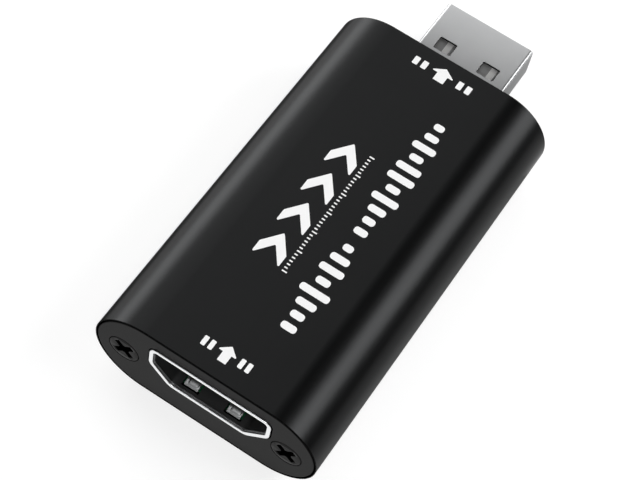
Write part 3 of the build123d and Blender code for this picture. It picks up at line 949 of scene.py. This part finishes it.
# %% A screw's head, recess and thread
def add_screw(form, x, face, inward, turn):
    """One screw with its head level with a face and its shank inward from it."""
    recess = []
    for reach, arm, core, depth in recess_sizes:
        cross = shifted(cross_outline(reach, arm, core, turn), x, screw_height)
        recess.append(form.ring(at(cross, face + inward * depth)))
    form.skin(recess)
    form.cap(recess[-1])
    rings, half_way = [], head_edge * half_way_round
    for inset, depth in ((head_edge, 0), (half_way, half_way), (0, head_edge)):
        circle = circle_outline(x, screw_height, head_radius - inset, thread_turn_steps)
        rings.append(form.ring(at(circle, face + inward * depth)))
    form.cap(rings[0], [recess[0]])
    rows = int((screw_length - head_depth) / thread_pitch * thread_steps)
    for row in range(rows + 1):
        depth = head_depth + (screw_length - head_depth) * row / rows
        taper = min(1.0, row / thread_steps, (rows - row) / thread_steps)
        points = []
        for step in range(thread_turn_steps):
            share = step / thread_turn_steps
            phase = (depth / thread_pitch + inward * share) % 1.0
            point = shank_point * max(0.0, 1 - (rows - row) / thread_steps)
            groove = thread_depth * abs(2 * phase - 1) * taper + point
            angle = 2 * math.pi * share
            radius = shank_radius - groove
            points.append((x + radius * math.cos(angle), face + inward * depth,
                           screw_height + radius * math.sin(angle)))
        rings.append(form.ring(points))
    form.skin(rings)
    form.cap(rings[-1])


# %% Build the screws
def build_screws(name, node, face, inward, turns):
    """The two screws of one plate."""
    form = Form()
    for hand, turn in zip((-1, 1), turns):
        add_screw(form, hand * screw_spacing / 2, face, inward, turn)
    return make_piece(name, form, blackened_steel, [node], sharp_degrees=thread_sharp)


build_screws("input_screws", "input_plate_screws", input_face, 1, (44, 49))
build_screws("output_screws", "output_plate_screws", output_face, -1, (-47, -43))


# %% [markdown]
# ## The socket's shell
# The shell is folded from thin sheet steel, so it is made the way that a sheet metal worker
# thinks of it: one face of the sheet is drawn, the slots round the spring fingers are left out of
# it, and the Solidify modifier gives it its thickness. Its mouth is turned out into a flat rim,
# the brightest line on this end. The turn is too tight for Solidify, whose inner side would fold
# over itself, so the rim is its own closed ring with rounded edges, and the tube starts behind it.

# %% Places in the socket and gaps in its sheet
socket_front, socket_rear = socket_low.y, socket_high.y
finger_width, finger_side_gap = 1.75, 0.2
finger_low, finger_high = edges_of("lower_spring_left")
finger_tip_gap, finger_root_gap = 0.15, 0.03
slot_front, slot_rear = finger_low.y - finger_tip_gap, finger_high.y + finger_root_gap
finger_centres = {side: sum(edge.x for edge in edges_of("lower_spring_" + side)) / 2
                  for side in ("left", "right")}
rim_inside, rim_outside, rim_edge, rim_steps = 0.12, sheet_thickness + socket_flare, 0.08, 5
same_place = 0.001
print("spring fingers at", {side: round(x, 2) for side, x in finger_centres.items()})


def marked(points, marks):
    """A closed outline with further points where its level stretches pass marks along X."""
    result = []
    for index, (x, z) in enumerate(points):
        next_x, next_z = points[(index + 1) % len(points)]
        result.append((x, z))
        if abs(z - next_z) < same_place:
            passed = [mark for mark in marks if min(x, next_x) < mark < max(x, next_x)]
            result += [(mark, z) for mark in sorted(passed, reverse=next_x < x)]
    return result


def gaps_in_sheet(outline, spans, rows, below=case_height):
    """Rows and columns of the level faces within spans along X, no higher than a limit."""
    skipped = set()
    for column, (x, z) in enumerate(outline):
        next_x, next_z = outline[(column + 1) % len(outline)]
        middle = (x + next_x) / 2
        level = abs(z - next_z) < same_place and z < below
        if level and any(low < middle < high for low, high in spans):
            skipped |= {(row, column) for row in rows}
    return skipped


# %% Build the rim of the socket's shell
def build_socket_rim():
    """Flat rim round the mouth, as a closed ring with rounded edges."""
    form = Form()
    back = socket_front + sheet_thickness
    section = [(rim_inside, back)]
    for centre, first in ((rim_inside + rim_edge, -180), (rim_outside - rim_edge, -90)):
        section += arc_points(centre, socket_front + rim_edge, rim_edge, first, first + 90, rim_steps)
    section.append((rim_outside, back))
    rings = form.rings([at(socket_outline(grow), place) for grow, place in section])
    form.skin(rings + rings[:1])
    return make_piece("socket_rim", form, rim_nickel)


build_socket_rim()


# %% Build the tube of the socket's shell
leg_length, leg_top, leg_bottom = 1.6, 7.6, 2.0
leg_places = (2.6, 8.4)
leg_shift = 0.02
tube_edge = 0.05
sheet_sharp = 50


def add_tabs(form, section, places, length, hand):
    """Tabs of one side of a shell: a section carried for a length from each place, facing outward."""
    for place in places:
        ends = form.rings([at(section, place), at(section, place + length)][::hand])
        form.skin(ends, closed=False)


def build_socket_shell():
    """Sheet steel tube with a slot round each finger, and legs to the board."""
    half = finger_width / 2 + finger_side_gap
    spans = [(x - half, x + half) for x in finger_centres.values()]
    marks = [mark for span in spans for mark in span]
    outline = marked(socket_outline(0), marks)
    form = Form()
    places = (socket_front + sheet_thickness, slot_front, slot_rear, socket_rear)
    rings = form.rings([at(outline, place) for place in places])
    form.skin(rings, skipped=gaps_in_sheet(outline, spans, [1]))
    for hand in (-1, 1):
        side = socket_offset + hand * (socket_width / 2 + leg_shift)
        fronts = [socket_front + setback for setback in leg_places]
        add_tabs(form, [(side, leg_top), (side, leg_bottom)], fronts, leg_length, hand)
    return make_piece("socket_shell_sheet", form, tube_steel_painted_shade, ["socket_shell"],
                      sheet=-sheet_thickness, edge=tube_edge, sharp_degrees=sheet_sharp)


build_socket_shell()


# %% [markdown]
# ## The spring fingers
# Four fingers are cut from the shell's floor and ceiling and bent inward, so that they press on a
# plug and hold it. Each has a small pad pressed up near its tip. A finger is a strip in the
# measured model. Here its face is a fine grid, because a grid can carry the pad as a smooth
# swelling with a faint groove round it, and its back is the same strip without the pad. Solidify
# would fold the back over itself at the pad's steep sides, so each ring goes round the strip.
# Each finger rides on its own body.

# %% A finger's path and its pad
finger_line = ((0, 0), (-2.9, 0), (-4.5, 0.3), (-5.2, 0.05))
finger_bend = 0.6
finger_grid = 0.085
finger_edge = 0.05
pad_middle, pad_half, pad_corner = (0.1, -4.3), (0.58, 0.62), 0.18
pad_rise, pad_groove, pad_slope = 0.13, 0.03, 0.07


def bent_path(corners, radius, steps=5):
    """Points along a strip through corners, each inner corner bent to a radius."""
    points = [corners[0]]
    for before, here, after in zip(corners, corners[1:], corners[2:]):
        points += corner_arc(before, here, after, radius, steps)
    return points + [corners[-1]]


def finely(path, step):
    """The points of a path with further points between those that lie far apart."""
    points = []
    for one, two in zip(path, path[1:]):
        count = max(1, round(math.dist(one, two) / step))
        points += [tuple(a + (b - a) * index / count for a, b in zip(one, two)) for index in range(count)]
    return points + [path[-1]]


def pad_lift(across, along):
    """Height of the pressed pad at a place on a finger."""
    reach_x = abs(across - pad_middle[0]) - pad_half[0] + pad_corner
    reach_y = abs(along - pad_middle[1]) - pad_half[1] + pad_corner
    outside = math.hypot(max(reach_x, 0), max(reach_y, 0)) + min(max(reach_x, reach_y), 0) - pad_corner
    share = min(1.0, max(0.0, 0.5 - outside / pad_slope / 2))
    groove = math.exp(-((outside - pad_slope) / pad_slope) ** 2)
    return pad_rise * share * share * (3 - 2 * share) - pad_groove * groove


# %% Build the spring fingers
def build_finger(row, side):
    """Spring finger of a row and side, as a bent strip with its pad."""
    node = f"{row}_spring_{side}"
    high = edges_of(node)[1]
    inward = 1 if row == "lower" else -1
    surface = socket_floor if inward > 0 else socket_floor + socket_tall
    columns = round(finger_width / finger_grid)
    across = [(column / columns - 0.5) * finger_width for column in range(columns + 1)]

    def place(x, along, rise):
        return finger_centres[side] + x, high.y - sheet_thickness / 2 + along, surface + inward * rise

    form, rings = Form(), []
    path = finely(bent_path(finger_line, finger_bend), finger_grid)
    for index, (along, rise) in enumerate(path):
        run = Vector(path[min(index + 1, len(path) - 1)]) - Vector(path[max(index - 1, 0)])
        back = Vector((along, rise)) - Vector((run.y, -run.x)).normalized() * sheet_thickness
        ring = [place(x, along, rise + pad_lift(x, along)) for x in across]
        rings.append(form.ring(ring + [place(x, *back) for x in reversed(across)]))
    form.skin(rings)
    for ring in (rings[0], rings[-1]):
        form.skin([ring[:columns + 1], ring[:columns:-1]], closed=False)
    return make_piece(node + "_strip", form, finger_nickel, [node], body=node,
                      edge=finger_edge, sharp_degrees=sheet_sharp)


for row in ("lower", "upper"):
    for side in ("left", "right"):
        build_finger(row, side)


# %% [markdown]
# ## The computer plug
# The plug's shell is one folded strip of steel whose ends meet in a seam underneath. Two windows
# above and two below take the latches of a computer's socket, and show the plastic tongue and its
# contacts. It is made like the socket's shell, with the windows and the seam left out of the
# sheet. Four tabs at its rear are soldered into the board.

# %% Sizes of the plug's shell
window_setback, window_length, window_width, window_spacing = 4.95, 1.95, 2.35, 6.0
seam_half = 0.03
window_corner, window_corner_steps = 0.16, 4
plug_edge = 0.07
tab_reach, tab_length, tab_places = 1.2, 1.5, (0.8, 4.3)
tab_top, pin_bottom = 4.3, 2.0
print("windows", window_width, "by", window_length, "set back", window_setback)


# %% Round the windows' corners
def add_window_corners(form, rings, outline, spans):
    """Small faces that round the corners of the windows."""
    for column, (x, z) in enumerate(outline):
        after = (column + 1) % len(outline)
        next_x, next_z = outline[after]
        low, high = min(x, next_x), max(x, next_x)
        for span in spans:
            at_low, at_high = abs(low - span[0]) < same_place, abs(high - span[1]) < same_place
            corner = abs(z - next_z) <= same_place and abs(high - low - window_corner) <= same_place
            if not corner or not (at_low or at_high):
                continue
            wall_column = column if (x == low) == at_low else after
            other = after if wall_column == column else column
            for rim_row, inner_row in ((1, 2), (4, 3)):
                add_corner_fan(form, rings, rim_row, inner_row, wall_column, other)


def add_corner_fan(form, rings, rim_row, inner_row, wall_column, other_column):
    """Fan from a window's sharp corner to a round one."""
    corner = Vector(form.points[rings[rim_row][wall_column]])
    along_wall = Vector(form.points[rings[inner_row][wall_column]])
    along_rim = Vector(form.points[rings[rim_row][other_column]])
    centre = along_wall + along_rim - corner
    arc = [centre + (along_wall - centre) * math.cos(angle) + (along_rim - centre) * math.sin(angle)
           for angle in (math.pi / 2 * step / window_corner_steps for step in range(1, window_corner_steps))]
    numbers = [rings[inner_row][wall_column]] + form.ring(arc) + [rings[rim_row][other_column]]
    turned = (along_wall - corner).cross(along_rim - corner).z * (1 if corner.z > plug_middle else -1) > 0
    for one, two in zip(numbers, numbers[1:]):
        face = (rings[rim_row][wall_column], one, two)
        form.faces.append(face[::-1] if turned else face)


# %% Build the plug's shell
def build_plug_shell():
    """Folded steel shell with windows, a seam and soldering tabs."""
    rear, tip = plug_low.y, plug_high.y
    far, near = tip - window_setback, tip - window_setback - window_length
    centres = [hand * window_spacing / 2 for hand in (-1, 1)]
    spans = [(centre - window_width / 2, centre + window_width / 2) for centre in centres]
    corners = [edge + sign * window_corner for low, high in spans for edge, sign in ((low, 1), (high, -1))]
    marks = [edge for span in spans for edge in span] + corners + [-seam_half, seam_half]
    outline = marked(plug_outline(0), marks)
    places = [rear, near, near + window_corner, far - window_corner, far, tip]
    form = Form()
    skipped = gaps_in_sheet(outline, spans, [1, 2, 3])
    skipped |= gaps_in_sheet(outline, [(-seam_half, seam_half)], range(5), below=plug_middle)
    rings = form.rings([at(outline, place) for place in places])
    form.skin(rings, skipped=skipped)
    add_window_corners(form, rings, outline, spans)
    for hand in (-1, 1):
        inside = hand * (plug_width / 2 - sheet_thickness / 2)
        outside = hand * (plug_width / 2 + tab_reach)
        section = [(inside, tab_top), (outside, tab_top), (outside, pin_bottom)]
        add_tabs(form, section, [rear + setback for setback in tab_places], tab_length, hand)
    return make_piece("plug_shell_sheet", form, satin_nickel, ["plug_shell"],
                      sheet=sheet_thickness, edge=plug_edge, sharp_degrees=sheet_sharp)


build_plug_shell()


# %% [markdown]
# ## Printed marks
# White marks on top say which end is which. They are signs that anyone may use: an arrow that
# points into the case at the input, one that points to the plug at the output, and between them
# chevrons, a fine scale and the bars of a sound wave. An image would blur close up, so each mark is a
# thin closed mesh with its top level with the top of the case.

# %% Print the marks
ink_low, ink_high = case_height - 2 * ink_thickness, case_height
mark_round = 0.12


def print_mark(form, corners, radius=mark_round):
    """One mark through corners taken anticlockwise, seen from above, with small round corners."""
    outline = rounded(corners, [radius] * len(corners), 4)
    form.loft([[(x, y, z) for x, y in outline] for z in (ink_low, ink_high)])


def bar_corners(x, y, width, length):
    """Corners of an upright bar about its middle."""
    return [(x + a * width / 2, y + b * length / 2) for a, b in square]


# %% Arrows with two short bars each side
arrow_neck, arrow_stem, arrow_head, arrow_round = 0.04, 0.085, 0.19, 0.08
dash_places, dash_width, dash_length = (0.3, 0.44), 0.085, 0.55
# Middle across the case, place along it, height and width
end_marks = ((0.25, input_face + 2.97, 2.16, 6.2), (0.25, output_face - 2.45, 2.1, 7.9))


def end_mark(form, x, y, height, width):
    """Arrow that points along the case, with two short bars each side."""
    low, high, neck = y - height / 2, y + height / 2, y + height * arrow_neck
    stem, head = width * arrow_stem, width * arrow_head
    print_mark(form, [(x - stem, low), (x + stem, low), (x + stem, neck), (x + head, neck), (x, high),
                      (x - head, neck), (x - stem, neck)], arrow_round)
    for hand in (-1, 1):
        for reach in dash_places:
            dash = bar_corners(x + hand * width * reach, y, width * dash_width, height * dash_length)
            print_mark(form, dash)


# %% Chevrons and a fine scale
chevron_left, chevron_right, chevron_rise, chevron_stroke = -4.54, -1.13, 2.3, 1.75
chevron_start, chevron_step, chevron_count = 14.6, 4.75, 4
scale_left, scale_start, scale_step, scale_count = -0.62, 14.7, 0.495, 37
scale_group, scale_long, scale_short, scale_width, scale_round = 6, 0.62, 0.4, 0.17, 0.04


def print_chevrons(form):
    """Bold chevrons that point to the plug."""
    middle = (chevron_left + chevron_right) / 2
    for index in range(chevron_count):
        y = input_face + chevron_start + index * chevron_step
        lower = [(chevron_left, y), (middle, y + chevron_rise), (chevron_right, y)]
        upper = [(x, place + chevron_stroke) for x, place in reversed(lower)]
        print_mark(form, lower + upper)


def print_scale(form):
    """Fine scale with the first line of each group longer."""
    for index in range(scale_count):
        length = scale_short if index % scale_group else scale_long
        y = input_face + scale_start + index * scale_step
        print_mark(form, bar_corners(scale_left + length / 2, y, length, scale_width), scale_round)


# %% Bars of a sound wave
wave_line, wave_step, wave_bar, wave_round = 3.7, 1.68, 0.92, 0.36
wave_bursts = ((9.4, 8), (23.7, 11))
wave_least, wave_swell, wave_even, wave_ripple, wave_turn = 1.0, 2.9, 0.62, 0.38, 2.3
wave_lead, wave_trail = 0.8, 0.6


def print_wave(form):
    """Bars of many lengths about one line, like sound passing in two bursts."""
    for first, count in wave_bursts:
        for index in range(count):
            swell = math.sin(math.pi * (index + wave_lead) / (count + wave_trail))
            tall = wave_least + wave_swell * swell * (wave_even + wave_ripple * math.cos(wave_turn * index))
            y = input_face + first + index * wave_step
            print_mark(form, bar_corners(wave_line, y, tall, wave_bar), wave_round)


def print_case_marks():
    """All white marks in one piece, placed from the ends of the case."""
    form = Form()
    for mark in end_marks:
        end_mark(form, *mark)
    print_chevrons(form)
    print_scale(form)
    print_wave(form)
    return make_piece("printed_marks", form, white_ink)


print_case_marks()


# %% [markdown]
# ## Finishes inside the case
# Most parts inside can't be seen until the case is opened, but they get their finishes all the
# same, as do the tongues and contacts, which show in the socket's mouth and the plug's windows.
# Their measured shapes are right, so they stay as they are and only take a material. The board is
# green lacquer over copper tracks, which show as slightly lighter lines.

# %% The board's finish
track_pitch, track_share, track_patch = 0.6, 0.45, 5.0


def board_finish():
    """Green lacquer over copper tracks that change their direction from patch to patch."""
    lacquer = (0.006, 0.075, 0.03, 1), (0.008, 0.095, 0.038, 1)
    make = Finish("board_lacquer", lacquer, (0.28, 0.36))
    parts = axes(make.tree, make.place)
    cells = {"Vector": make.place, "Scale": 1 / (track_patch * mm)}
    patch = add_node(make.tree, "ShaderNodeTexVoronoi", cells, distance="CHEBYCHEV")
    chance = axes(make.tree, patch.outputs["Color"])["X"]
    turned = reckon(make.tree, "GREATER_THAN", chance, 0.5)
    across = reckon(make.tree, "MULTIPLY", parts["X"], turned)
    along = reckon(make.tree, "MULTIPLY", parts["Y"], reckon(make.tree, "SUBTRACT", 1.0, turned))
    steps = reckon(make.tree, "MULTIPLY", reckon(make.tree, "ADD", across, along), 1 / (track_pitch * mm))
    track = reckon(make.tree, "LESS_THAN", reckon(make.tree, "FRACT", steps), track_share)
    make.dye(track, (0.02, 0.17, 0.06, 1))
    return make.done()


# %% Give each measured part that still shows its finish
by_slot = {
    "chip_resin": Finish("chip_resin", greys(0.028, 0.038), (0.5, 0.64), 0.05, 0.004).done(),
    "tinned_lead": Finish("bright_tin", greys(0.66, 0.76), (0.22, 0.38), cloud=0.5, Metallic=1.0).done(),
    "crystal_ceramic": Finish("fired_ceramic", greys(0.3, 0.36, 0.08), (0.55, 0.68), 0.07, 0.004).done(),
    "crystal_can": Finish("plated_lid", greys(0.66, 0.74, 0.07), (0.24, 0.34), Metallic=1.0).done(),
    "inductor_ferrite": Finish("pressed_ferrite", greys(0.05, 0.08), (0.6, 0.75), 0.09, 0.008).done(),
    "capacitor_ceramic": Finish("sintered_tan", ((0.34, 0.2, 0.1, 1), (0.42, 0.27, 0.14, 1)),
                                (0.48, 0.6)).done(),
    "resistor_coat": Finish("glass_coat", greys(0.012, 0.02), (0.16, 0.26), 0.07, 0.001).done(),
    "board_laminate": board_finish(),
    "socket_steel": finger_nickel, "plug_steel": satin_nickel, "connector_plastic": socket_plastic,
    "contact_gold": gold_flash, "anodised_sleeve": anodised, "plate_black": plate_paint,
    "screw_black": blackened_steel}
by_node = {"plug_insulator": plug_plastic, "plug_contacts": pale_contact}

for part in frame["record"]["subparts"]:
    node = frame["nodes"][part["node"]]
    finish = by_node.get(part["node"], by_slot[part["material_slot"]])
    node.data.materials.clear()
    node.data.materials.append(finish)


# %% [markdown]
# ## The last settings
# The picture uses the plain Standard view, so that colours come out as they are written.

# %% View
bpy.context.scene.view_settings.view_transform = "Standard"
